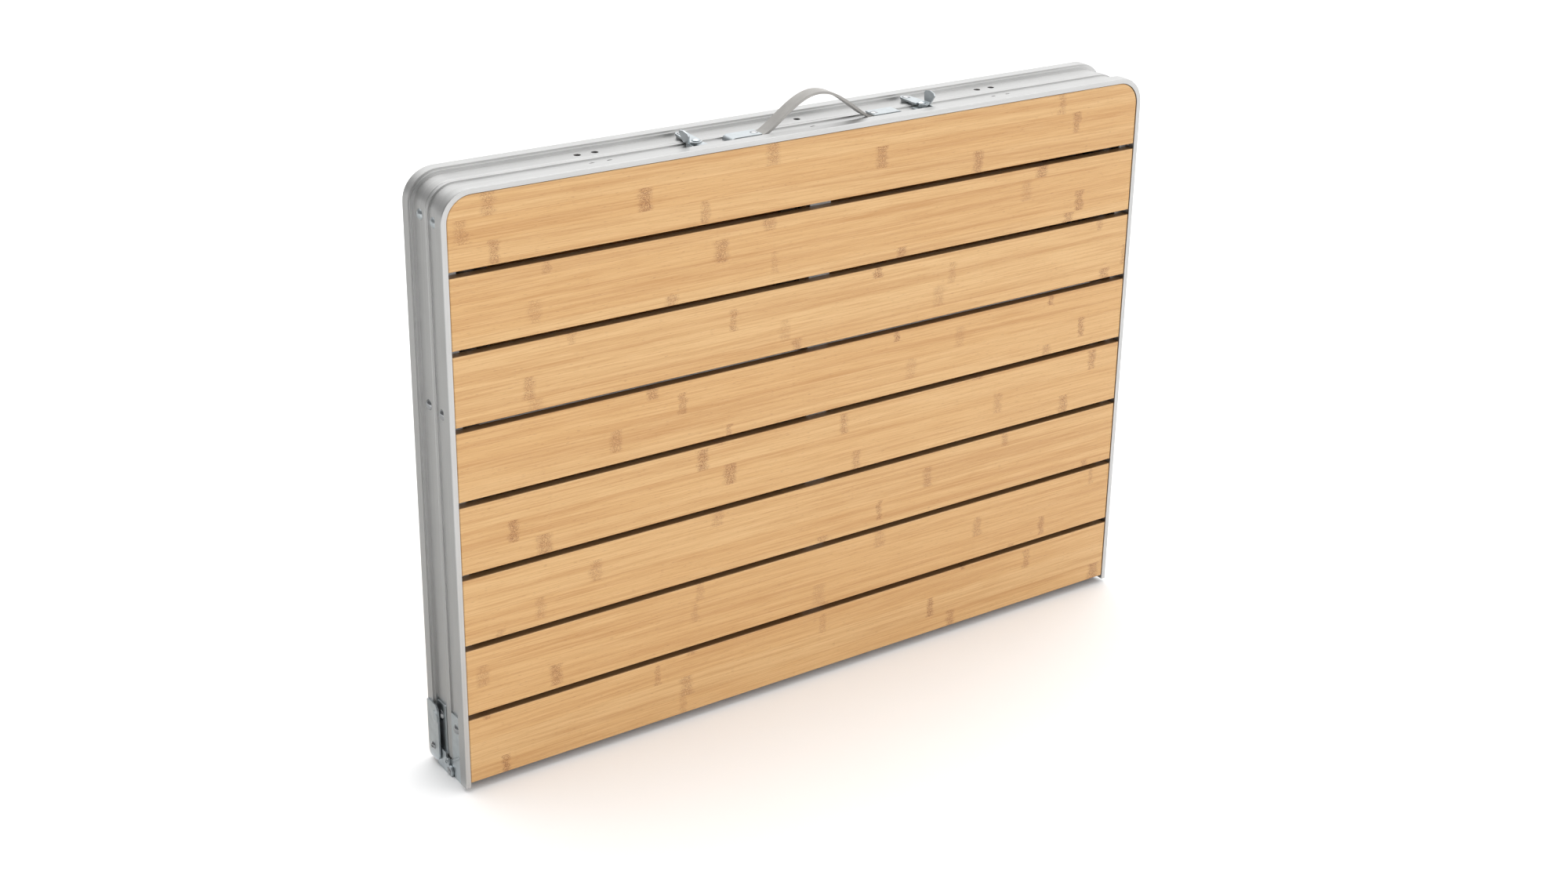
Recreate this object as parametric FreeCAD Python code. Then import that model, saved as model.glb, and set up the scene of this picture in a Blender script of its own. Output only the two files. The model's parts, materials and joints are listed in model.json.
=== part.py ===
import FreeCAD, Part
import math
import os

# Folding slatted table, shown folded and standing on its fold edge.
# X runs along the fold, Y through the folded pack, Z up. Z = 0 is the surface it stands on.
# Everything on the front half (table top facing -Y) is drawn here; the rear half is its mirror.

# ---- driving dimensions (mm) ----
LENGTH = 800.0            # along the fold, over both side rails
HEIGHT = 600.0            # from the floor to the outer edge of a half
PACK = 78.0               # thickness of the folded pack
MID_GAP = 0.25            # each half stays this far from the middle plane
AXIS_Z = 4.2              # height of the fold axis
END_GAP = 0.4             # frame ends stop this far above the fold axis
CORNER_R = 30.0           # outer radius of the bent frame

RIM = 5.4                 # width of the bright rim round the slats
BAND = 11.5               # depth of the outermost band of the frame
STEP_IN = 2.0             # the step between band and channel lies this far inside
CHANNEL_IN = 5.0          # the channel floor lies this far inside the outermost face
CHANNEL_W = (14.0, 34.0)  # the channel, measured from the table top
RIDGE_IN = 3.6            # the ridge beside the channel lies this far inside
SEAT_W = 10.0             # the slats rest on a ledge this far below the table top
LEDGE = 17.0              # the ledge reaches this far in
WALL = 2.2                # frame wall

SLATS = 8
SLAT_GAP = 5.5
SLAT_TOP = 0.5            # the slats lie this far below the rim
SLAT_END = 0.4            # play between slat and rim
SLAT_FOOT = 4.5           # frame ends reach this far past the last slat
SLAT_ROUND = 1.2

SCREW_R = 2.0             # slat screws
SCREW_HEAD_R = 3.4
SCREW_HEAD_T = 1.5
SCREW_BITE = 6.0          # depth in the slat
LEDGE_SCREW_IN = 12.0     # screw row, inwards from the outermost face
BAR_HALF = 12.0           # half the width of the centre bar
BAR_DEPTH = 7.0
BAR_WALL = 1.5
END_RAIL_T = 3.2
END_RAIL_Z = (8.0, 34.0)

LEG_W = 25.5              # leg axis, measured from the table top
LEG_PIVOT_Z = 565.0
LEG_X = {"front": 371.0, "rear": 345.0}   # the rear legs pass inside the front ones
TUBE_R = 11.0
TUBE_BORE = 9.5
TUBE_TOP = 10.0           # outer tube above its pivot
TUBE_LEN = 340.0          # outer tube below its pivot
INNER_R = 9.15
INNER_BORE = 7.95
INNER_TOP = 30.0          # inner tube starts this far below the pivot
LEG_LEN = 425.0           # pivot to the foot's sole, legs pushed in
FOOT_R = 12.0
AXLE_R = 4.0
SPACER_R = 5.0
CROSS_R = 8.0
CROSS_BORE = 6.8
CROSS_DOWN = 200.0        # cross tube below the pivot
RUN_FIT = 0.05            # radial play of a pin in its hole

BRACE_Z = 383.0           # brace pivot on the side rail
BRACE_ON_LEG = 160.0      # brace pivot on the leg, below the leg pivot
BRACE_W = 12.0
BRACE_T = 2.0
BRACE_PIN_R = 3.0
UPPER_X = 391.4           # outer faces of the two brace links
LOWER_X = 387.8

LATCH_X = 130.0
LATCH_PIVOT_Y = 13.5
STUD_Y = -12.5
HANDLE_CLIP = (65.0, 99.0)
HANDLE_RIVET_X = 69.0
STRAP_HALF = 64.5         # the strap leaves its clips here
STRAP_RISE = 34.0
STRAP_T = 2.4
STRAP_W = 15.0
CLIP_HALF_W = 8.2
CLIP_T = 1.8
HANDLE_RIVET_R = 2.5
HOOK_LIFT = 3.2           # the latch hooks ride this far above the channel floor
HOOK_T = 1.8
TAB_LEAN = 14.0           # degrees, the latch's finger tab from upright
STUD_R = 2.4
PIVOT_R = 2.5
HOLES_X = (0.0, 221.0, 239.0)
HOLE_R = 3.4
HOLE_W = 24.0             # row of drilled holes, measured from the table top

LEAF_T = 2.0
LEAF_EDGE_W = 14.5        # the hinge leaf's two long edges, measured from the table top
LEAF_INNER_W = 33.4
LEAF_TOP = 72.0
LOBE_R = 7.0              # round end of a leaf, cut off flat by its sole
LEAF_RIVET_R = 2.5
LEAF_RIVET_Z = 58.0
PIN_R = 2.0
LAYER_GAP = 0.3           # between the two leaves where they lap
FOOT_TOP = 17.2           # a leaf's foot reaches the middle plane up to this height
LEAF_RIB = ((-7.5, 19.5), (-23.0, 30.0))  # y, z of its two ends
STOP_SCREW = (-2.4, 13.6)
STRIP_T = 1.8
STRIP_BOX = (-37.5, -14.5, 6.5, 68.0)     # y0, y1, z0, z1
STRIP_BOSS = (-21.0, 54.5)
STRIP_SCREW = (-26.8, 20.0)
STRIP_SCREW_R = 2.0

HALF_LEN = LENGTH / 2
HALF_PACK = PACK / 2
END_Z = AXIS_Z + END_GAP
DEPTH = HALF_PACK - MID_GAP
CHANNEL_X = HALF_LEN - CHANNEL_IN
WALL_X = CHANNEL_X - WALL
CHANNEL_Z = HEIGHT - CHANNEL_IN
LEG_Y = LEG_W - HALF_PACK
LEG_BASE_Z = LEG_PIVOT_Z - LEG_LEN
TUBE_END_Z = LEG_PIVOT_Z - TUBE_LEN
ELBOW_REACH = math.hypot(LEG_PIVOT_Z - BRACE_Z, BRACE_ON_LEG)      # links in line when open
ELBOW_FOLD = LEG_PIVOT_Z - BRACE_Z - BRACE_ON_LEG                  # links on each other when shut
UPPER_LEN = (ELBOW_REACH + ELBOW_FOLD) / 2
BRACE_LEG_Z = LEG_PIVOT_Z - BRACE_ON_LEG
ELBOW_Z = BRACE_Z + UPPER_LEN
SLAT_Z0 = END_Z + SLAT_FOOT
SLAT_Z1 = HEIGHT - RIM - SLAT_END
SLAT_H = (SLAT_Z1 - SLAT_Z0 - (SLATS - 1) * SLAT_GAP) / SLATS
CLAMP_Y = 22.5 - HALF_PACK          # row of the leaf rivets and of the handle
OUTER_LAYER = CHANNEL_X + LEAF_T + LAYER_GAP
HOOK_Z = CHANNEL_Z + HOOK_LIFT
CLIP_Z = CHANNEL_Z + STRAP_T + 1.0

X_DIR = FreeCAD.Vector(1, 0, 0)
Y_DIR = FreeCAD.Vector(0, 1, 0)
Z_DIR = FreeCAD.Vector(0, 0, 1)
ORIGIN = FreeCAD.Vector(0, 0, 0)
NODES = {}


def v(x, y, z):
    return FreeCAD.Vector(x, y, z)


def from_top(w):
    """Y of a point of the front half that lies w below its table top."""
    return w - HALF_PACK


def box(x0, x1, y0, y1, z0, z1):
    return Part.makeBox(x1 - x0, y1 - y0, z1 - z0, v(x0, y0, z0))


def rod(radius, start, end):
    line = end - start
    return Part.makeCylinder(radius, line.Length, start, line)


def tube(radius, bore, start, end):
    return rod(radius, start, end).cut(rod(bore, start, end))


def dome(radius, rise, base, direction):
    """Rivet head: a spherical cap standing on base."""
    flat = Part.LineSegment(v(0, 0, 0), v(radius, 0, 0)).toShape()
    bend = math.atan(rise / radius)
    ball = radius / math.sin(2 * bend)
    middle = v(ball * math.sin(bend), 0, ball * math.cos(bend) - ball + rise)
    arc = Part.Arc(v(radius, 0, 0), middle, v(0, 0, rise)).toShape()
    axis = Part.LineSegment(v(0, 0, rise), v(0, 0, 0)).toShape()
    cap = Part.Face(Part.Wire([flat, arc, axis])).revolve(ORIGIN, Z_DIR, 360)
    cap.Placement = FreeCAD.Placement(base, FreeCAD.Rotation(Z_DIR, direction))
    return cap


def mirror_x(shape):
    return shape.mirror(ORIGIN, X_DIR)


def both_ends(shape):
    """The same piece at the left and at the right end."""
    return [shape, mirror_x(shape)]


def plate_yz(points, x0, x1):
    """A flat plate cut to an outline of (y, z) points."""
    corners = [v(x0, y, z) for y, z in points]
    face = Part.Face(Part.makePolygon(corners + corners[:1]))
    return face.extrude(v(x1 - x0, 0, 0))


def add(name, *solids):
    NODES[name] = solids[0] if len(solids) == 1 else Part.makeCompound(list(solids))


def rear(shape):
    """The rear half's copy of a front piece."""
    return shape.mirror(ORIGIN, Y_DIR)


# ---- frame ----

def frame_section():
    """Section of the left side rail: u inwards from its outer face, w down from the table top."""
    chamfer = 0.6
    top, bottom = CHANNEL_W
    inside = CHANNEL_IN + WALL
    outline = [
        (RIM, 0), (chamfer, 0), (0, chamfer), (0, BAND), (STEP_IN, BAND), (STEP_IN, top),
        (CHANNEL_IN, top), (CHANNEL_IN, bottom), (RIDGE_IN, bottom), (RIDGE_IN, DEPTH - chamfer),
        (RIDGE_IN + chamfer, DEPTH), (inside, DEPTH), (inside, SEAT_W + WALL),
        (LEDGE, SEAT_W + WALL), (LEDGE, SEAT_W), (RIM, SEAT_W)]
    corners = [v(u - HALF_LEN, from_top(w), 0) for u, w in outline]
    return Part.Face(Part.makePolygon(corners + corners[:1]))


def bent_frame():
    side = frame_section()
    bend_z = HEIGHT - CORNER_R
    rail = side.copy()
    rail.translate(v(0, 0, END_Z))
    rail = rail.extrude(v(0, 0, bend_z - END_Z))
    bend = side.copy()
    bend.translate(v(0, 0, bend_z))
    bend = bend.revolve(v(CORNER_R - HALF_LEN, 0, bend_z), Y_DIR, 90)
    head = side.copy()
    head.rotate(v(-HALF_LEN, 0, 0), Y_DIR, 90)
    head.translate(v(CORNER_R, 0, HEIGHT))
    head = head.extrude(v(LENGTH - 2 * CORNER_R, 0, 0))
    frame = head.fuse([rail, bend, mirror_x(rail), mirror_x(bend)]).removeSplitter()

    # the hinge's room: the ridge stops short of the fold edge and the channel floor is skimmed
    notch_z = 18.0
    notch_w = 33.0
    skim = 0.4
    cuts = both_ends(box(-HALF_LEN - 1, -HALF_LEN + 12, from_top(notch_w), 0, 0, notch_z))
    skim_box = box(-HALF_LEN - 1, -CHANNEL_X + skim,
                   from_top(CHANNEL_W[0]), from_top(notch_w) + 1, 0, notch_z)
    cuts += both_ends(skim_box)

    # rivet and axle holes in the side rails
    for z, radius in ((LEG_PIVOT_Z, AXLE_R), (BRACE_Z, BRACE_PIN_R)):
        cuts.append(rod(radius, v(-HALF_LEN, LEG_Y, z), v(-WALL_X + 1, LEG_Y, z)))
        cuts.append(rod(radius, v(WALL_X - 1, LEG_Y, z), v(HALF_LEN, LEG_Y, z)))
    cuts += both_ends(leaf_rivet_hole())

    # drilled holes in the head rail
    for x in sorted(set(HOLES_X) | set(-x for x in HOLES_X)):
        cuts.append(head_rail_hole(HOLE_R, x, from_top(HOLE_W)))
    cuts += [screw_hole(x, z) for x, z in ledge_screws()]
    return frame.cut(cuts)


def head_rail_hole(radius, x, y):
    return rod(radius, v(x, y, HEIGHT), v(x, y, CHANNEL_Z - WALL - 1))


# ---- slats and what carries them ----

def slat_z(index):
    """Lower edge of a slat; slat 0 is at the handle's edge."""
    return SLAT_Z1 - SLAT_H - index * (SLAT_H + SLAT_GAP)


def slat_mid(index):
    return slat_z(index) + SLAT_H / 2


def ledge_screws():
    x = HALF_LEN - LEDGE_SCREW_IN
    return [(side * x, slat_mid(i)) for i in range(SLATS) for side in (-1, 1)]


def slat(index):
    half = HALF_LEN - RIM - SLAT_END
    z0 = slat_z(index)
    board = box(-half, half, from_top(SLAT_TOP), from_top(SEAT_W), z0, z0 + SLAT_H)
    if index == 0:
        corner = CORNER_R - RIM - SLAT_END
        upright = [e for e in board.Edges
                   if abs(e.BoundBox.YLength - e.Length) < 1e-6 and e.BoundBox.ZMin > z0 + 1]
        board = board.makeFillet(corner, upright)
    face_y = from_top(SLAT_TOP)
    rim_edges = [e for e in board.Edges if e.BoundBox.YMax < face_y + 1e-3]
    board = board.makeFillet(SLAT_ROUND, rim_edges)
    screw_x = HALF_LEN - LEDGE_SCREW_IN
    return board.cut([screw_hole(x, slat_mid(index)) for x in (-screw_x, 0, screw_x)])


def screw_hole(x, z):
    """Hole for a slat screw, from its tip out past the bar or ledge that it holds."""
    tip, past = SEAT_W - SCREW_BITE, SEAT_W + WALL + 1
    return rod(SCREW_R, v(x, from_top(tip), z), v(x, from_top(past), z))


def screw(x, z, w_head):
    """Pan-head screw driven up into a slat from a head that bears at w_head."""
    tip_w = SEAT_W - SCREW_BITE
    shank = rod(SCREW_R, v(x, from_top(tip_w), z), v(x, from_top(w_head), z))
    head = rod(SCREW_HEAD_R, v(x, from_top(w_head), z), v(x, from_top(w_head + SCREW_HEAD_T), z))
    return shank.fuse(head)


def slat_screws():
    ledge = [screw(x, z, SEAT_W + WALL) for x, z in ledge_screws()]
    middle = [screw(0, slat_mid(i), SEAT_W + BAR_WALL) for i in range(SLATS)]
    return ledge + middle


def centre_bar():
    z1 = HEIGHT - LEDGE
    bar = box(-BAR_HALF, BAR_HALF, from_top(SEAT_W), from_top(SEAT_W + BAR_DEPTH), END_RAIL_Z[1], z1)
    inside = BAR_HALF - BAR_WALL
    bar = bar.cut(box(-inside, inside, from_top(SEAT_W + BAR_WALL), 0, 0, HEIGHT))
    return bar.cut([screw_hole(0, slat_mid(i)) for i in range(SLATS)])


def end_rail():
    half = HALF_LEN - LEDGE
    return box(-half, half, from_top(SEAT_W), from_top(SEAT_W + END_RAIL_T), *END_RAIL_Z)


# ---- fold hinge ----

def leaf_blank(x0, x1, z0, z1):
    """The straight part of a hinge leaf, with its upper corners rounded."""
    leaf = box(x0, x1, from_top(LEAF_EDGE_W), from_top(LEAF_INNER_W), z0, z1)
    tops = [e for e in leaf.Edges if e.BoundBox.ZMin > z1 - 1e-3
            and e.BoundBox.XLength > 1.0 and e.BoundBox.YLength < 1e-3]
    return leaf.makeFillet(3.0, tops)


def leaf_foot(x0, x1):
    """The lower part, which reaches the fold axis and has a flat sole."""
    edge, inner = from_top(LEAF_EDGE_W), from_top(LEAF_INNER_W)
    foot = plate_yz([(edge, 0), (0, 0), (0, FOOT_TOP - 1), (-1, FOOT_TOP), (inner, FOOT_TOP),
                     (inner, 22), (edge, 22)], x0, x1)
    lobe = rod(LOBE_R, v(x0, 0, AXIS_Z), v(x1, 0, AXIS_Z))
    return foot.fuse(lobe.cut(box(x0, x1, -LOBE_R, LOBE_R, -LOBE_R, 0)))


def axis_hole(radius):
    return rod(radius, v(-HALF_LEN - 5, 0, AXIS_Z), v(-CHANNEL_X + 5, 0, AXIS_Z))


def leaf_rivet_hole():
    y, z = CLAMP_Y, LEAF_RIVET_Z
    return rod(LEAF_RIVET_R, v(-HALF_LEN - 5, y, z), v(-WALL_X + 1, y, z))


def inner_leaf():
    """Front leaf, flat in the channel, with a rolled rib across it."""
    x0, x1 = -CHANNEL_X - LEAF_T, -CHANNEL_X
    leaf = leaf_blank(x0, x1, 10, LEAF_TOP).fuse(leaf_foot(x0, x1))
    rib = rod(1.4, *[v(x0, y, z) for y, z in LEAF_RIB])
    return leaf.fuse(rib).cut([axis_hole(PIN_R), leaf_rivet_hole()]).removeSplitter()


def outer_leaf():
    """Rear leaf, drawn as its front mirror: it steps out so that its foot laps the front leaf."""
    leaf = leaf_blank(-CHANNEL_X - LEAF_T, -CHANNEL_X, 20, LEAF_TOP)
    step = box(-OUTER_LAYER - LEAF_T, -CHANNEL_X,
               from_top(LEAF_EDGE_W), from_top(LEAF_INNER_W), 19, 22)
    foot = leaf_foot(-OUTER_LAYER - LEAF_T, -OUTER_LAYER)
    leaf = leaf.fuse([step, foot])
    return leaf.cut([axis_hole(PIN_R + RUN_FIT), leaf_rivet_hole()]).removeSplitter()


def hinge_pin():
    face = -OUTER_LAYER - LEAF_T - 0.1
    pin = rod(PIN_R, v(face, 0, AXIS_Z), v(-CHANNEL_X + 1.2, 0, AXIS_Z))
    outside = dome(4.0, 1.1, v(face, 0, AXIS_Z), -X_DIR)
    inside = rod(3.2, v(-CHANNEL_X, 0, AXIS_Z), v(-CHANNEL_X + 1.2, 0, AXIS_Z))
    return pin.fuse([outside, inside])


def leaf_rivet():
    y, z = CLAMP_Y, LEAF_RIVET_Z
    face = -CHANNEL_X - LEAF_T
    shank = rod(LEAF_RIVET_R, v(face, y, z), v(-WALL_X + 1, y, z))
    inside = rod(4.0, v(-WALL_X, y, z), v(-WALL_X + 1, y, z))
    return shank.fuse([dome(5.0, 2.4, v(face, y, z), -X_DIR), inside])


def brace_rivet():
    """Rivet through the side rail that the upper brace link turns on."""
    inner_end = -UPPER_X + BRACE_T + 0.9
    shank = rod(BRACE_PIN_R, v(-CHANNEL_X, LEG_Y, BRACE_Z), v(inner_end, LEG_Y, BRACE_Z))
    head = dome(5.2, 2.6, v(-CHANNEL_X, LEG_Y, BRACE_Z), -X_DIR)
    clinch = rod(4.2, v(inner_end - 0.8, LEG_Y, BRACE_Z), v(inner_end, LEG_Y, BRACE_Z))
    return shank.fuse([head, clinch])


def cover_strip():
    """Reinforcing strip over the rear half's hinge leaf, drawn as its front mirror."""
    x0, x1 = -HALF_LEN - STRIP_T, -HALF_LEN
    y0, y1, z0, z1 = STRIP_BOX
    outline = [(y0, z0), (y1, z0), (y1, z1 - 5), (y1 - 4, z1), (y0 + 1.5, z1), (y0, z1 - 1.5)]
    plate = plate_yz(outline, x0, x1)
    for y, radius in ((y0, 5.0), (y1, 8.0)):
        corner = [e for e in plate.Edges if e.BoundBox.ZMax < z0 + 1e-3
                  and e.BoundBox.XLength > 1.0 and abs(e.BoundBox.YMin - y) < 1e-3]
        plate = plate.makeFillet(radius, corner)
    y, z = STRIP_BOSS
    boss = rod(6.4, v(x0, y, z), v(x0 - 0.7, y, z)).fuse(dome(5.4, 0.9, v(x0 - 0.7, y, z), -X_DIR))
    return plate.fuse(boss).cut(strip_screw_hole()).removeSplitter()


def strip_screw_hole():
    y, z = STRIP_SCREW
    return rod(STRIP_SCREW_R, v(-HALF_LEN - 5, y, z), v(-WALL_X + 1, y, z))


def pan_screw(radius, rise, shank_r, face_x, y, z, depth):
    """Pan-head screw with a cross recess, driven in along X at the left end."""
    head = dome(radius, rise, v(face_x, y, z), -X_DIR)
    slot = 0.5
    arm = radius * 0.6
    deep = face_x - rise * 0.45
    cross = [box(face_x - rise - 1, deep, y - slot, y + slot, z - arm, z + arm),
             box(face_x - rise - 1, deep, y - arm, y + arm, z - slot, z + slot)]
    return head.cut(cross).fuse(rod(shank_r, v(face_x, y, z), v(face_x + depth, y, z)))


# ---- legs and braces ----

def outer_leg(side):
    """Left outer tube of one half's legs, with the stub that the lower brace link turns on."""
    x = LEG_X[side]
    body = rod(TUBE_R, v(-x, LEG_Y, LEG_PIVOT_Z + TUBE_TOP), v(-x, LEG_Y, TUBE_END_Z))
    for radius, x0, x1 in ((5.0, x, LOWER_X - BRACE_T - 0.4), (BRACE_PIN_R, x, LOWER_X + 0.8),
                           (4.4, LOWER_X + 0.1, LOWER_X + 0.8)):
        body = body.fuse(rod(radius, v(-x0, LEG_Y, BRACE_LEG_Z), v(-x1, LEG_Y, BRACE_LEG_Z)))
    body = body.cut(rod(TUBE_BORE, v(-x, LEG_Y, HEIGHT), v(-x, LEG_Y, 0)))
    axle_hole = rod(AXLE_R + RUN_FIT, v(-HALF_LEN, LEG_Y, LEG_PIVOT_Z), v(0, LEG_Y, LEG_PIVOT_Z))
    return body.cut(axle_hole)


def cross_tube(side):
    """Tube between the two outer legs, its ends shaped to them and welded on."""
    x = LEG_X[side]
    z = LEG_PIVOT_Z - CROSS_DOWN
    body = tube(CROSS_R, CROSS_BORE, v(-x, LEG_Y, z), v(x, LEG_Y, z))
    return body.cut(both_ends(rod(TUBE_R, v(-x, LEG_Y, 0), v(-x, LEG_Y, HEIGHT))))


def axle(side):
    """Rod that the legs turn on, riveted over at both side rails, with a spacer at each end."""
    shaft = rod(AXLE_R, v(-CHANNEL_X, LEG_Y, LEG_PIVOT_Z), v(CHANNEL_X, LEG_Y, LEG_PIVOT_Z))
    parts = both_ends(dome(5.2, 2.6, v(-CHANNEL_X, LEG_Y, LEG_PIVOT_Z), -X_DIR))
    spacer_end = LEG_X[side] + TUBE_R + 0.4
    parts += both_ends(rod(SPACER_R, v(-WALL_X, LEG_Y, LEG_PIVOT_Z), v(-spacer_end, LEG_Y, LEG_PIVOT_Z)))
    return shaft.fuse(parts)


def inner_tube(x):
    foot_floor = LEG_BASE_Z + 10
    return tube(INNER_R, INNER_BORE, v(x, LEG_Y, foot_floor), v(x, LEG_Y, LEG_PIVOT_Z - INNER_TOP))


def foot(x):
    """Rubber cup on the end of an inner tube, with a chamfered sole."""
    sole = rod(FOOT_R, v(x, LEG_Y, LEG_BASE_Z), v(x, LEG_Y, LEG_BASE_Z + 30))
    ends = [e for e in sole.Edges if e.Closed]
    sole = sole.makeChamfer(1.2, ends)
    return sole.cut(rod(INNER_R, v(x, LEG_Y, LEG_BASE_Z + 10), v(x, LEG_Y, LEG_BASE_Z + 40)))


def collar(x):
    """Twist-lock collar: grips the outer tube above and the inner tube below."""
    z0, z1 = TUBE_END_Z - 16, TUBE_END_Z + 20
    outer_r = 12.5
    body = rod(outer_r, v(x, LEG_Y, z0), v(x, LEG_Y, z1))
    body = body.makeChamfer(0.8, [e for e in body.Edges if e.Closed])
    grooves = []
    count = 16
    for k in range(count):
        a = 2 * math.pi * k / count
        gx, gy = x + (outer_r + 0.4) * math.cos(a), LEG_Y + (outer_r + 0.4) * math.sin(a)
        grooves.append(rod(0.9, v(gx, gy, z0 + 5), v(gx, gy, z1 - 5)))
    bores = [rod(TUBE_R + 0.3, v(x, LEG_Y, TUBE_END_Z - 0.3), v(x, LEG_Y, z1 + 1)),
             rod(INNER_R + 0.35, v(x, LEG_Y, z0 - 1), v(x, LEG_Y, z1))]
    return body.cut(grooves + bores)


def link(x_out, z0, z1):
    """Flat brace link with round ends, at the left end of the half."""
    x_in = x_out - BRACE_T
    r = BRACE_W / 2
    strip = box(-x_out, -x_in, LEG_Y - r, LEG_Y + r, z0, z1)
    return strip.fuse([rod(r, v(-x_out, LEG_Y, z), v(-x_in, LEG_Y, z)) for z in (z0, z1)])


def upper_brace():
    """Link from the side rail to the elbow, with the elbow rivet."""
    body = link(UPPER_X, BRACE_Z, ELBOW_Z)
    hole = rod(BRACE_PIN_R + RUN_FIT, v(-HALF_LEN, LEG_Y, BRACE_Z), v(-WALL_X + 9, LEG_Y, BRACE_Z))
    elbow = rod(3.6, v(-UPPER_X + BRACE_T, LEG_Y, ELBOW_Z), v(-LOWER_X - 0.4, LEG_Y, ELBOW_Z))
    return body.cut(hole).fuse(elbow).removeSplitter()


def lower_brace():
    """Link from the leg to the elbow, with the rivet's other head."""
    body = link(LOWER_X, BRACE_LEG_Z, ELBOW_Z)
    hole = rod(BRACE_PIN_R + RUN_FIT, v(-HALF_LEN, LEG_Y, BRACE_LEG_Z), v(-WALL_X + 9, LEG_Y, BRACE_LEG_Z))
    head = dome(4.2, 1.2, v(-LOWER_X + BRACE_T, LEG_Y, ELBOW_Z), X_DIR)
    return body.cut(hole).fuse(head).removeSplitter()


# ---- latches and carrying handle on the head rail ----

def latch_hook():
    """Left latch hook: turns on the rear half and holds the front half's stud."""
    x, py, sy = -LATCH_X, LATCH_PIVOT_Y, STUD_Y
    reach = py - sy
    z0, z1 = HOOK_Z, HOOK_Z + HOOK_T
    plate = plate_xy([(x - 6, py), (x + 6, py), (x + 5.5, sy), (x - 9, sy + 1)], z0, z1)
    plate = plate.fuse([rod(6.0, v(x, py, z0), v(x, py, z1)), rod(6.6, v(x - 1, sy, z0), v(x - 1, sy, z1))])
    # the mouth is an arc round the pivot, open towards the middle of the table
    play = STUD_R + 0.4
    ring = rod(reach + play, v(x, py, z0 - 1), v(x, py, z1 + 1))
    ring = ring.cut(rod(reach - play, v(x, py, z0 - 1), v(x, py, z1 + 1)))
    mouth = ring.common(box(x, x + 20, sy - 12, sy + 10, z0 - 1, z1 + 1))
    mouth = mouth.fuse(rod(play, v(x, sy, z0 - 1), v(x, sy, z1 + 1)))
    hook = plate.cut([mouth, rod(PIVOT_R + RUN_FIT, v(x, py, z0 - 1), v(x, py, z1 + 1))])
    # fan-shaped finger tab, turned up and leaning out on the outer side
    edge = x - 10.0
    fan = [(-2.5, 0), (6.5, 0), (10.5, 9), (8.5, 11.5), (2, 12.6), (-4.5, 11.5), (-6.5, 9)]
    tab = plate_yz([(sy + y, z0 + z) for y, z in fan], edge, edge + 1.6)
    tab.rotate(v(edge, 0, z0), Y_DIR, -TAB_LEAN)
    neck = box(edge, x - 5, sy - 2.5, sy + 6.5, z0, z1)
    return hook.fuse([tab, neck]).removeSplitter()


def plate_xy(points, z0, z1):
    """A flat plate cut to an outline of (x, y) points."""
    corners = [v(x, y, z0) for x, y in points]
    return Part.Face(Part.makePolygon(corners + corners[:1])).extrude(v(0, 0, z1 - z0))


def latch_pivot():
    """Shouldered rivet that carries the left hook above the rear channel."""
    x, y = -LATCH_X, LATCH_PIVOT_Y
    head_z = HOOK_Z + HOOK_T + 0.1
    shoulder = rod(5.2, v(x, y, CHANNEL_Z), v(x, y, HOOK_Z - 0.1))
    head = dome(4.4, 1.3, v(x, y, head_z), Z_DIR)
    return riveted_shank(PIVOT_R, x, y, head_z).fuse([shoulder, head])


def riveted_shank(radius, x, y, top_z):
    """Rivet shank through the head rail's wall, clinched underneath."""
    under = CHANNEL_Z - WALL
    shank = rod(radius, v(x, y, under - 0.8), v(x, y, top_z))
    return shank.fuse(rod(radius + 1.2, v(x, y, under - 0.8), v(x, y, under)))


def latch_catch():
    """Left catch: a base plate with a turned-up outer end and the stud."""
    x, y = -LATCH_X, STUD_Y
    base = box(x - 9, x + 10, y - 8, y + 3, CHANNEL_Z, CHANNEL_Z + 1.5)
    lip = box(x - 9, x - 7.5, y - 8, y + 3, CHANNEL_Z, CHANNEL_Z + 2.9)
    head_z = HOOK_Z + HOOK_T + 0.4
    stud = riveted_shank(STUD_R, x, y, head_z)
    head = dome(4.2, 1.6, v(x, y, head_z), Z_DIR)
    return base.fuse([lip, stud, head]).removeSplitter()


def handle_clip():
    """Left bridge plate that holds the strap's end: flat, then curled down at its outer end."""
    x_in, x_out = -HANDLE_CLIP[0], -HANDLE_CLIP[1]
    curl = CLIP_Z + CLIP_T - CHANNEL_Z
    y0, y1 = CLAMP_Y - CLIP_HALF_W, CLAMP_Y + CLIP_HALF_W
    flat = box(x_out + curl, x_in, y0, y1, CLIP_Z, CLIP_Z + CLIP_T)
    centre = v(x_out + curl, y0, CHANNEL_Z)
    bend = rod(curl, centre, centre + v(0, y1 - y0, 0))
    bend = bend.cut(rod(curl - CLIP_T, centre - v(0, 1, 0), centre + v(0, y1 - y0 + 1, 0)))
    bend = bend.common(box(x_out - 1, x_out + curl, y0, y1, CHANNEL_Z, HEIGHT + 5))
    hole = rod(HANDLE_RIVET_R, v(-HANDLE_RIVET_X, CLAMP_Y, CHANNEL_Z),
               v(-HANDLE_RIVET_X, CLAMP_Y, HEIGHT + 5))
    return flat.fuse(bend).cut(hole).removeSplitter()


def handle_rivet():
    x, head_z = -HANDLE_RIVET_X, CLIP_Z + CLIP_T
    head = dome(4.0, 1.2, v(x, CLAMP_Y, head_z), Z_DIR)
    return riveted_shank(HANDLE_RIVET_R, x, CLAMP_Y, head_z).fuse(head)


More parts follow.
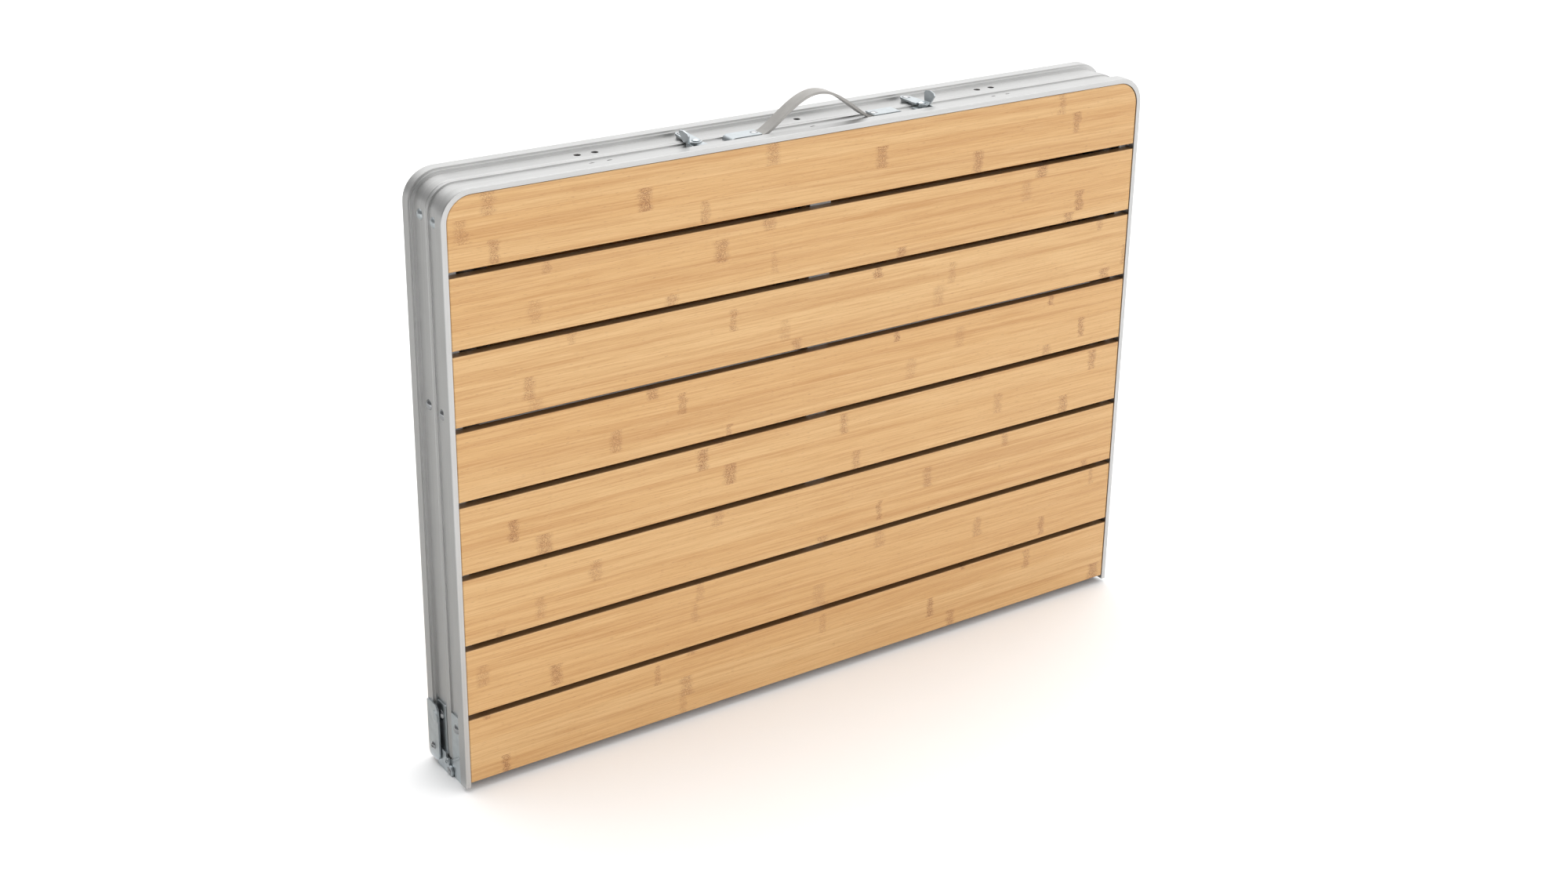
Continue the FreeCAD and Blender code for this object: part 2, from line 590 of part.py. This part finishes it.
def handle_strap():
    """Springy flat strap: level in its clips, arched between them, slotted for the rivets."""
    base = CHANNEL_Z + 0.5 + STRAP_T / 2
    tail = HANDLE_CLIP[1] - 10
    steps = 14

    def centre_line(k):
        """Height and slope of the arch at step k of the way across."""
        t = k / steps
        x = -STRAP_HALF + 2 * STRAP_HALF * t
        z = base + STRAP_RISE * math.sin(math.pi * t) ** 1.35
        return x, z

    middle = [centre_line(k) for k in range(steps + 1)]
    normals = []
    for k in range(steps + 1):
        xa, za = middle[max(k - 1, 0)]
        xb, zb = middle[min(k + 1, steps)]
        length = math.hypot(xb - xa, zb - za)
        normals.append((-(zb - za) / length, (xb - xa) / length))
    normals[0] = normals[-1] = (0.0, 1.0)
    y0 = CLAMP_Y - STRAP_W / 2

    def skin(side):
        half = side * STRAP_T / 2
        points = [v(x + nx * half, y0, z + nz * half) for (x, z), (nx, nz) in zip(middle, normals)]
        curve = Part.BSplineCurve()
        curve.interpolate(points)
        return curve.toShape(), points

    top, top_points = skin(1)
    bottom, bottom_points = skin(-1)
    ends = [Part.LineSegment(top_points[i], bottom_points[i]).toShape() for i in (0, -1)]
    arch = Part.Face(Part.Wire(Part.__sortEdges__([top, bottom] + ends)))
    arch = arch.extrude(v(0, STRAP_W, 0))
    tails = both_ends(box(-tail, -STRAP_HALF, y0, y0 + STRAP_W, base - STRAP_T / 2, base + STRAP_T / 2))
    slot_half = 3.0
    slots = both_ends(box(-tail + 5, -HANDLE_RIVET_X + slot_half, CLAMP_Y - slot_half,
                          CLAMP_Y + slot_half, CHANNEL_Z, CHANNEL_Z + 5))
    return arch.fuse(tails).cut(slots).removeSplitter()


# ---- put the halves together ----

half_frame = bent_frame()
front_holes = [head_rail_hole(HANDLE_RIVET_R, -HANDLE_RIVET_X, CLAMP_Y),
               head_rail_hole(STUD_R, -LATCH_X, STUD_Y)]
rear_holes = [head_rail_hole(PIVOT_R, -LATCH_X, -LATCH_PIVOT_Y), strip_screw_hole()]
for side, holes, place in (("front", front_holes, lambda s: s), ("rear", rear_holes, rear)):
    pairs = [hole for shape in holes for hole in both_ends(shape)]
    add(side + "_frame", place(half_frame.cut(pairs)))

for i in range(SLATS):
    board = slat(i)
    add("front_slat_%d" % (i + 1), board)
    add("rear_slat_%d" % (i + 1), rear(board))

for side, place in (("front", lambda s: s), ("rear", rear)):
    add(side + "_centre_bar", place(centre_bar()))
    add(side + "_end_rail", place(end_rail()))
    add(side + "_slat_screws", *[place(s) for s in slat_screws()])
    add(side + "_leg_axle", place(axle(side)))
    add(side + "_outer_legs", *[place(s) for s in both_ends(outer_leg(side))])
    add(side + "_leg_cross_tube", place(cross_tube(side)))
    add(side + "_brace_upper", *[place(s) for s in both_ends(upper_brace())])
    add(side + "_brace_lower", *[place(s) for s in both_ends(lower_brace())])
    for hand, sx in (("left", -1), ("right", 1)):
        x = sx * LEG_X[side]
        add("%s_%s_inner_leg" % (side, hand), place(inner_tube(x)))
        add("%s_%s_foot" % (side, hand), place(foot(x)))
        add("%s_%s_lock_collar" % (side, hand), place(collar(x)))

rivets = both_ends(brace_rivet()) + both_ends(leaf_rivet())
add("front_rivets", *(rivets + both_ends(handle_rivet())))
stop = pan_screw(3.4, 2.0, 1.6, -OUTER_LAYER - LEAF_T, *STOP_SCREW, 1.0)
strip_y, strip_z = STRIP_SCREW
strip_screw = pan_screw(4.4, 2.2, STRIP_SCREW_R, -HALF_LEN - STRIP_T, strip_y, strip_z, 8.0)
add("rear_rivets", *[rear(s) for s in rivets + both_ends(strip_screw)])

for hand, place in (("left", lambda s: s), ("right", mirror_x)):
    add("front_hinge_leaf_" + hand, place(inner_leaf()))
    add("rear_hinge_leaf_" + hand, rear(place(outer_leaf().fuse(stop))))
    add("latch_hook_" + hand, place(latch_hook()))
add("hinge_strips", *[rear(s) for s in both_ends(cover_strip())])
add("hinge_pins", *both_ends(hinge_pin()))
add("latch_pivots", *both_ends(latch_pivot()))
add("latch_catches", *both_ends(latch_catch()))
add("handle_strap", handle_strap())
add("handle_clips", *both_ends(handle_clip()))

os.makedirs("parts", exist_ok=True)
for name, shape in NODES.items():
    shape.exportStep(os.path.join("parts", name + ".step"))
    if not shape.isValid():
        print("not valid:", name)
print(len(NODES), "nodes")
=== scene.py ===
import json
import math

import bpy
from mathutils import Euler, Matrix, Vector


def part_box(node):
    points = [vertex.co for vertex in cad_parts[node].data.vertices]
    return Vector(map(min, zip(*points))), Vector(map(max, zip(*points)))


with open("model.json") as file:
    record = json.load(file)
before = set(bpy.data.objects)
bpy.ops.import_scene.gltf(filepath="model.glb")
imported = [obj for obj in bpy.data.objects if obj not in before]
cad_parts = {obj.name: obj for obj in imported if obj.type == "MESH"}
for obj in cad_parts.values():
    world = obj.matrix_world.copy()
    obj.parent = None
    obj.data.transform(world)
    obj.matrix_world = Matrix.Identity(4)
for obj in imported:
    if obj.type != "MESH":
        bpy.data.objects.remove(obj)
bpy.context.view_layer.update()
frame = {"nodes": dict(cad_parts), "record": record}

# ---- what the frame says (metres) ----
SLAT_Z0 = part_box("front_slat_8")[0].z
SLAT_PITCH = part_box("front_slat_7")[0].z - SLAT_Z0
FRAME_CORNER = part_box("front_frame")[1]
HALF_LENGTH = FRAME_CORNER.x
FRAME_TOP = FRAME_CORNER.z
BEND_RADIUS = 0.030       # outer radius of the bent frame

# ---- camera ----
CAMERA_PLACE = (-1.1728, -1.7470, 1.2134)
CAMERA_HEADING = -37.70   # degrees, turned from +Y
CAMERA_DOWN = 22.08
CAMERA_ROLL = 2.47
LENS = 51.77              # mm
SENSOR_WIDTH = 36.0       # mm
SHIFT = (-0.100, -0.0563)

# ---- surround ----
SKY_SIDE = (0.97, 0.25, 0.0)      # the side that the sky is brightest on
SKY_HEIGHT = (0.80, 0.95)         # strength at eye level and overhead
SKY_HEIGHT_FROM = (-0.1, 0.9)     # heights that these two stand for
SKY_FACING = (0.25, 1.60)         # factor away from SKY_SIDE and towards it
SKY_FACING_FROM = (-0.6, 0.9)     # cosines that these two stand for

FLOOR_REACH = 30.0
FLOOR_WHITE = ((0.95, 0.95, 0.95), (0.965, 0.965, 0.965))
FLAG_X = (-4.0, -0.41)
FLAG_Y = (-0.25, 5.0)
FLAG_LIFT = 0.001
FLAG_GREY = (0.50, 0.50, 0.49)

# ---- bamboo: colours, then sizes ----
WOOD_LIGHT = (0.700, 0.445, 0.200)
WOOD_MID = (0.640, 0.370, 0.145)
WOOD_DARK = (0.472, 0.222, 0.064)
WOOD_PALE = (0.765, 0.505, 0.255)
WOOD_SAWN_AND_GAP_SHADE = (0.100, 0.048, 0.018)     # the slats' long edges: darker sawn wood, plus painted shade of the narrow gaps between slats
WOOD_MARK = (0.220, 0.070, 0.018)

REAR_NUMBERS = 20.0       # keeps the slat numbers of the two halves apart
STRIP_WIDTH = 0.0225      # laminated strips, glued side by side
STRIP_SHIFT = 5.0         # a slat's pattern is moved by up to this many strips
FIBRE_DRIFT = (-0.010, 0.014)         # slope of the fibres against the slat
STREAK_SHIFT = 7.0                    # moves the streaks' pattern from strip to strip
NODE_SPACING = (0.216, 0.405)         # between the joints of a bamboo cane
NODE_PLACE = (0.3, 0.7)               # where in its own stretch of the strip a joint lies
NODE_SHIFT = 3.0                      # a strip's joints are moved along by up to this much
NODE_REACH = (0.0044, 0.0108)         # half the width of a joint's mark
NODE_WANDER = 0.012                   # how far the mark's outline strays
SPECK_LEVEL = 0.52                    # the specks follow the noise's contour at this level

# grain patterns, as turns per metre along a slat, through it and across it
STREAK_GRAIN = (2.2, 1.0, 130.0)
VEIN_GRAIN = (6.0, 1.0, 420.0)
FIBRE_GRAIN = (20.0, 900.0, 1250.0)
FLECK_GRAIN = (160.0, 1500.0, 1500.0)
WANDER_GRAIN = (90.0, 0.0, 180.0)
SPECK_GRAIN = (520.0, 500.0, 900.0)

# ---- metals and mouldings ----
FRAME_SILVER = (0.57, 0.57, 0.565)
BAR_SILVER = (0.52, 0.52, 0.52)
LEG_SILVER = (0.58, 0.58, 0.585)
ZINC = (0.54, 0.58, 0.60)
RIVET_METAL = (0.42, 0.43, 0.44)
STRAP_GREY = (0.38, 0.365, 0.345)
COLLAR_BLACK = (0.030, 0.030, 0.032)
RUBBER_BLACK = (0.022, 0.022, 0.022)

DIE_GRAIN = (2600.0, 2600.0, 3.0)     # turns per metre: two ways across the drawn lines, then along
METAL_EDGE = 0.0005       # radius of the softened edges
MOULDED_EDGE = 0.0004

# even patterns, as turns per metre
DRAWN_CLOUD = 24.0
PLATED_CLOUD = 110.0
PLATED_GRAIN = 1800.0
MOULDED_CLOUD = 60.0
PAPER_CLOUD = 9.0


class Graph:
    """Builds the node tree of a material or a world with short calls."""

    def __init__(self, owner, shader="Principled BSDF"):
        self.owner = owner
        owner.use_nodes = True
        self.tree = owner.node_tree
        self.shader = self.tree.nodes[shader]

    def set(self, socket, value):
        """Links a socket to another one, or gives it a value."""
        if isinstance(value, bpy.types.NodeSocket):
            self.tree.links.new(value, socket)
        else:
            socket.default_value = value

    def add(self, kind, inputs=(), **settings):
        """A node with its settings, and its inputs in order or by name."""
        node = self.tree.nodes.new("ShaderNode" + kind)
        for key, value in settings.items():
            setattr(node, key, value)
        pairs = inputs.items() if isinstance(inputs, dict) else enumerate(inputs)
        for key, value in pairs:
            self.set(node.inputs[key], value)
        return node

    def math(self, operation, *values):
        return self.add("Math", values, operation=operation).outputs[0]

    def plus(self, a, b):
        return self.math("ADD", a, b)

    def minus(self, a, b):
        return self.math("SUBTRACT", a, b)

    def times(self, a, b):
        return self.math("MULTIPLY", a, b)

    def over(self, a, b):
        return self.math("DIVIDE", a, b)

    def absolute(self, a):
        return self.math("ABSOLUTE", a)

    def vector(self, x, y, z):
        return self.add("CombineXYZ", (x, y, z)).outputs[0]

    def coordinates(self, kind):
        """The x, y and z of a texture coordinate. Object is the place in the part's own frame."""
        source = self.add("TexCoord").outputs[kind]
        return self.add("SeparateXYZ", (source,)).outputs[:3]

    def noise(self, vector, scale=1.0, detail=2.0, rough=0.5):
        inputs = {"Vector": vector, "Scale": scale, "Detail": detail, "Roughness": rough}
        return self.add("TexNoise", inputs).outputs["Fac"]

    def grain(self, at, turns, detail=2.0, rough=0.5):
        """Noise with its own number of turns per metre in each direction."""
        stretched = [self.times(value, per_metre) for value, per_metre in zip(at, turns)]
        return self.noise(self.vector(*stretched), 1.0, detail, rough)

    def chance(self, x, y=0.0, z=0.0):
        """Three random numbers that stay the same for the same x, y, z."""
        colour = self.add("TexWhiteNoise", (self.vector(x, y, z),)).outputs["Color"]
        return self.add("SeparateColor", (colour,)).outputs[:3]

    def between(self, value, low, high, to_low=0.0, to_high=1.0):
        """Smooth step from to_low to to_high as the value goes from low to high."""
        inputs = (value, low, high, to_low, to_high)
        return self.add("MapRange", inputs, interpolation_type="SMOOTHSTEP").outputs[0]

    def pick(self, share, low, high):
        """Even spread from low to high by a share from 0 to 1."""
        inputs = (share, 0.0, 1.0, low, high)
        return self.add("MapRange", inputs, interpolation_type="LINEAR").outputs[0]

    def mix(self, share, a, b):
        """Colour a, turning into colour b by the share."""
        node = self.add("Mix", data_type="RGBA")
        factor, colour_a, colour_b = node.inputs[0], node.inputs[6], node.inputs[7]
        self.set(factor, share)
        self.set(colour_a, opaque(a))
        self.set(colour_b, opaque(b))
        return node.outputs[2]

    def shade(self, **inputs):
        """Sets the shader's sockets: Base_Color=..., Roughness=... and so on."""
        for name, value in inputs.items():
            self.set(self.shader.inputs[name.replace("_", " ")], opaque(value))

    def bump(self, height, strength, distance, edge=0.0):
        """Relief from a height, over edges that are rounded by the radius edge."""
        inputs = {"Height": height, "Strength": strength, "Distance": distance}
        node = self.add("Bump", inputs)
        if edge:
            rounding = self.add("Bevel", {"Radius": edge}, samples=4)
            self.set(node.inputs["Normal"], rounding.outputs[0])
        self.shade(Normal=node.outputs[0])


def opaque(value):
    """A colour of three channels gets its alpha; everything else stays as it is."""
    is_colour = isinstance(value, tuple) and len(value) == 3
    return (*value, 1.0) if is_colour else value


def scaled(colour, share):
    return tuple(channel * share for channel in colour)


def material(name):
    return Graph(bpy.data.materials.new(name))


# ---- materials ----

def slats_and_strips(g, y, z):
    """Number of the slat, number of the strip in it, and the place across the strip, 0 to 1."""
    up = g.minus(z, SLAT_Z0)
    slat = g.math("FLOOR", g.over(up, SLAT_PITCH))
    slat = g.plus(slat, g.times(g.math("SIGN", y), REAR_NUMBERS))
    shift, _, _ = g.chance(slat)
    strips = g.plus(g.over(up, STRIP_WIDTH), g.times(shift, STRIP_SHIFT))
    return slat, g.math("FLOOR", strips), g.math("FRACT", strips)


def joint_marks(g, place, slat, strip, slide, spread):
    """Speckled bands across one strip at a time, where the cane had its joints: colour and relief."""
    x, _, _ = place
    spacing = g.pick(spread, *NODE_SPACING)
    along = g.over(g.plus(x, g.times(slide, NODE_SHIFT)), spacing)
    where, strength, width = g.chance(g.math("FLOOR", along), slat, strip)
    offset = g.minus(g.math("FRACT", along), g.pick(where, *NODE_PLACE))
    wander = g.times(g.minus(g.grain(place, WANDER_GRAIN, detail=3.0), 0.5), NODE_WANDER)
    distance = g.absolute(g.plus(g.times(offset, spacing), wander))
    reach = g.pick(width, *NODE_REACH)
    band = g.minus(1.0, g.between(g.over(distance, reach), 0.25, 1.0))

    level = g.grain(place, SPECK_GRAIN, detail=2.0, rough=0.6)
    from_contour = g.absolute(g.minus(level, SPECK_LEVEL))
    specks = g.between(from_contour, 0.015, 0.07, 1.0, 0.0)
    force = g.times(band, g.pick(strength, 0.35, 1.0))
    mark = g.times(force, g.between(specks, 0.0, 1.0, 0.12, 0.85))
    return mark, g.times(specks, g.times(band, 0.5))


def bamboo():
    """Flat-pressed bamboo: strips of fine fibres along X, crossed by the marks of the joints."""
    g = material("bamboo")
    x, y, z = g.coordinates("Object")
    slat, strip, across = slats_and_strips(g, y, z)
    tone, slide, spread = g.chance(slat, strip)
    mark, mark_relief = joint_marks(g, (x, y, z), slat, strip, slide, spread)

    # the grain drifts a little across the strip, and differs from strip to strip
    lane = g.plus(z, g.times(x, g.pick(slide, *FIBRE_DRIFT)))
    shifted = g.plus(y, g.times(tone, STREAK_SHIFT))
    streaks = g.grain((x, shifted, lane), STREAK_GRAIN, detail=3.0, rough=0.6)
    veins = g.grain((x, shifted, lane), VEIN_GRAIN, detail=3.0, rough=0.6)
    fibres = g.grain((x, y, lane), FIBRE_GRAIN, detail=2.0, rough=0.7)
    flecks = g.grain((x, y, lane), FLECK_GRAIN, detail=1.0, rough=0.5)

    colour = g.mix(g.pick(tone, 0.05, 0.75), WOOD_LIGHT, WOOD_MID)
    # a pattern, the range it is read over, the share of the tint at both ends, and the tint
    layers = (
        (streaks, 0.42, 0.72, 0.0, 0.50, WOOD_DARK),
        (veins, 0.48, 0.68, 0.0, 0.28, WOOD_DARK),
        (fibres, 0.46, 0.66, 0.0, 0.32, WOOD_DARK),
        (fibres, 0.30, 0.46, 0.30, 0.0, WOOD_PALE),
        (flecks, 0.62, 0.80, 0.0, 0.28, WOOD_MARK),
    )
    for pattern, low, high, share_low, share_high, tint in layers:
        colour = g.mix(g.between(pattern, low, high, share_low, share_high), colour, tint)
    colour = g.mix(mark, colour, WOOD_MARK)

    from_middle = g.absolute(g.minus(across, 0.5))
    colour = g.mix(g.between(from_middle, 0.485, 0.5, 0.0, 0.35), colour, WOOD_DARK)
    # the slats' long edges (normals along ±Z) turn nearly black: partly darker sawn wood, partly painted
    # shade of the gaps between slats
    _, _, facing_up = g.coordinates("Normal")
    colour = g.mix(g.between(g.absolute(facing_up), 0.6, 0.95, 0.0, 0.75), colour, WOOD_SAWN_AND_GAP_SHADE)

    g.shade(Base_Color=colour, Roughness=g.between(fibres, 0.3, 0.7, 0.40, 0.54))
    g.shade(Coat_Weight=0.12, Coat_Roughness=0.32)
    g.bump(g.plus(fibres, mark_relief), strength=0.22, distance=0.0004)
    return g.owner


def outward_distance(g, x, z):
    """Distance from a line that follows the frame's outline round its corners, outward positive."""
    past_x = g.minus(g.absolute(x), HALF_LENGTH - BEND_RADIUS)
    past_z = g.minus(z, FRAME_TOP - BEND_RADIUS)
    bend_x = g.math("MAXIMUM", past_x, 0.0)
    bend_z = g.math("MAXIMUM", past_z, 0.0)
    bend = g.math("SQRT", g.plus(g.times(bend_x, bend_x), g.times(bend_z, bend_z)))
    return g.plus(bend, g.math("MINIMUM", g.math("MAXIMUM", past_x, past_z), 0.0))


def drawn_aluminium(name, colour, rough, bent=False):
    """Satin anodised extrusion with die lines, which follow a bent frame round its corners."""
    g = material(name)
    x, y, z = g.coordinates("Object")
    outward = outward_distance(g, x, z) if bent else x
    lines = g.grain((outward, y, g.plus(x, z)), DIE_GRAIN, detail=2.0, rough=0.7)
    cloud = g.noise(g.vector(x, y, z), DRAWN_CLOUD, detail=3.0)
    tint = g.mix(g.between(cloud, 0.3, 0.7, 0.0, 0.6), colour, scaled(colour, 0.93))
    tint = g.mix(g.between(lines, 0.35, 0.65, 0.45, 0.0), tint, scaled(colour, 0.74))
    roughness = g.between(lines, 0.2, 0.8, rough - 0.03, rough + 0.05)
    g.shade(Base_Color=tint, Metallic=1.0, Roughness=roughness)
    g.bump(lines, strength=0.05, distance=0.0002, edge=METAL_EDGE)
    return g.owner


def plated_steel(name, colour, rough, cloudiness):
    """Plated steel: bright, with cloudy patches and a fine grain."""
    g = material(name)
    at = g.vector(*g.coordinates("Object"))
    cloud = g.noise(at, PLATED_CLOUD, detail=4.0, rough=0.6)
    grain = g.noise(at, PLATED_GRAIN)
    tint = g.mix(g.between(cloud, 0.35, 0.7, 0.0, cloudiness), colour, scaled(colour, 0.75))
    roughness = g.between(cloud, 0.3, 0.7, rough, rough + 0.10)
    g.shade(Base_Color=tint, Metallic=1.0, Roughness=roughness)
    g.bump(grain, strength=0.08, distance=0.0002, edge=METAL_EDGE)
    return g.owner


def moulded(name, colour, rough, grain_turns, relief):
    """Moulded plastic or rubber with a fine grain."""
    g = material(name)
    at = g.vector(*g.coordinates("Object"))
    cloud = g.noise(at, MOULDED_CLOUD)
    grain = g.noise(at, grain_turns, detail=3.0, rough=0.6)
    tint = g.mix(g.between(cloud, 0.3, 0.7), colour, scaled(colour, 0.88))
    roughness = g.between(grain, 0.3, 0.7, rough - 0.06, rough + 0.08)
    g.shade(Base_Color=tint, Roughness=roughness)
    g.bump(grain, relief, distance=0.0003, edge=MOULDED_EDGE)
    return g.owner


def paper(name, colour, other):
    """Matt surround, slightly uneven between two colours."""
    g = material(name)
    uneven = g.noise(g.vector(*g.coordinates("Object")), PAPER_CLOUD, detail=3.0)
    g.shade(Base_Color=g.mix(uneven, colour, other), Roughness=0.9)
    return g.owner


FINISHES = {
    "bamboo": bamboo(),
    "frame_aluminium": drawn_aluminium("frame_aluminium", FRAME_SILVER, rough=0.42, bent=True),
    "bar_aluminium": drawn_aluminium("bar_aluminium", BAR_SILVER, rough=0.45),
    "leg_aluminium": drawn_aluminium("leg_aluminium", LEG_SILVER, rough=0.36),
    "zinc_steel": plated_steel("zinc_steel", ZINC, rough=0.30, cloudiness=0.30),
    "rivet_steel": plated_steel("rivet_steel", RIVET_METAL, rough=0.13, cloudiness=0.25),
    "strap_plastic": moulded("strap_plastic", STRAP_GREY, rough=0.50, grain_turns=900.0, relief=0.15),
    "collar_plastic": moulded("collar_plastic", COLLAR_BLACK, rough=0.45, grain_turns=1400.0, relief=0.2),
    "rubber": moulded("rubber", RUBBER_BLACK, rough=0.72, grain_turns=1100.0, relief=0.3),
}


def dress_cad_nodes():
    """Gives every CAD node the finish of its slot in the record."""
    for subpart in frame["record"]["subparts"]:
        mesh = frame["nodes"][subpart["node"]].data
        mesh.materials.clear()
        mesh.materials.append(FINISHES[subpart["material_slot"]])


# ---- staging: floor, reflection card, lamps, sky and camera ----

def flat_sheet(name, x_range, y_range, lift, finish):
    """Level rectangle over two ranges of X and Y. It is staging, not a piece."""
    (x0, x1), (y0, y1) = x_range, y_range
    mesh = bpy.data.meshes.new(name)
    corners = [(x, y, lift) for x, y in ((x0, y0), (x1, y0), (x1, y1), (x0, y1))]
    mesh.from_pydata(corners, [], [(0, 1, 2, 3)])
    mesh.materials.append(finish)
    sheet = bpy.data.objects.new(name, mesh)
    bpy.context.scene.collection.objects.link(sheet)
    return sheet


def floor():
    """Plain pale floor, wide enough to fill the view."""
    reach = (-FLOOR_REACH, FLOOR_REACH)
    flat_sheet("floor", reach, reach, 0.0, paper("floor_paper", *FLOOR_WHITE))


def flag():
    """Grey card on the floor behind the left end, which tones down the side rails.

    Only reflections see it.
    """
    finish = paper("flag_card", FLAG_GREY, scaled(FLAG_GREY, 1.1))
    card = flat_sheet("flag", FLAG_X, FLAG_Y, FLAG_LIFT, finish)
    card.visible_camera = False
    card.visible_diffuse = False
    card.visible_shadow = False


def lamp(name, heading, height, spread, strength):
    """Wide soft light from a compass heading (turned from +Y) and a height, all in degrees."""
    light = bpy.data.lights.new(name, "SUN")
    light.angle = math.radians(spread)
    light.energy = strength
    holder = bpy.data.objects.new(name, light)
    holder.rotation_euler = (math.radians(90.0 - height), 0.0, math.radians(heading + 180.0))
    bpy.context.scene.collection.objects.link(holder)


def sky():
    """Soft surround: brighter overhead and on the side that the table's +X end faces."""
    g = Graph(bpy.data.worlds.new("studio"), "Background")
    direction = g.add("TexCoord").outputs["Generated"]
    _, _, height = g.add("SeparateXYZ", (direction,)).outputs[:3]
    facing = g.add("VectorMath", (direction, SKY_SIDE), operation="DOT_PRODUCT").outputs["Value"]
    by_height = g.between(height, *SKY_HEIGHT_FROM, *SKY_HEIGHT)
    by_side = g.between(facing, *SKY_FACING_FROM, *SKY_FACING)
    g.shade(Color=(1.0, 1.0, 1.0), Strength=g.times(by_height, by_side))
    bpy.context.scene.world = g.owner


def camera():
    """The photo's viewpoint, lens and crop."""
    data = bpy.data.cameras.new("camera")
    data.lens = LENS
    data.sensor_width = SENSOR_WIDTH
    data.shift_x, data.shift_y = SHIFT
    data.clip_end = 100.0
    holder = bpy.data.objects.new("camera", data)
    holder.location = CAMERA_PLACE
    turn = Euler((math.radians(90.0 - CAMERA_DOWN), 0.0, math.radians(CAMERA_HEADING)), "XYZ")
    roll = Euler((0.0, 0.0, math.radians(CAMERA_ROLL)), "XYZ")
    holder.rotation_euler = (turn.to_matrix() @ roll.to_matrix()).to_euler()
    bpy.context.scene.collection.objects.link(holder)
    bpy.context.scene.camera = holder


dress_cad_nodes()
floor()
flag()
lamp("key", heading=-155.0, height=28.0, spread=60.0, strength=0.85)
lamp("overhead", heading=20.0, height=75.0, spread=70.0, strength=1.80)
sky()
camera()
bpy.context.scene.view_settings.view_transform = "Standard"
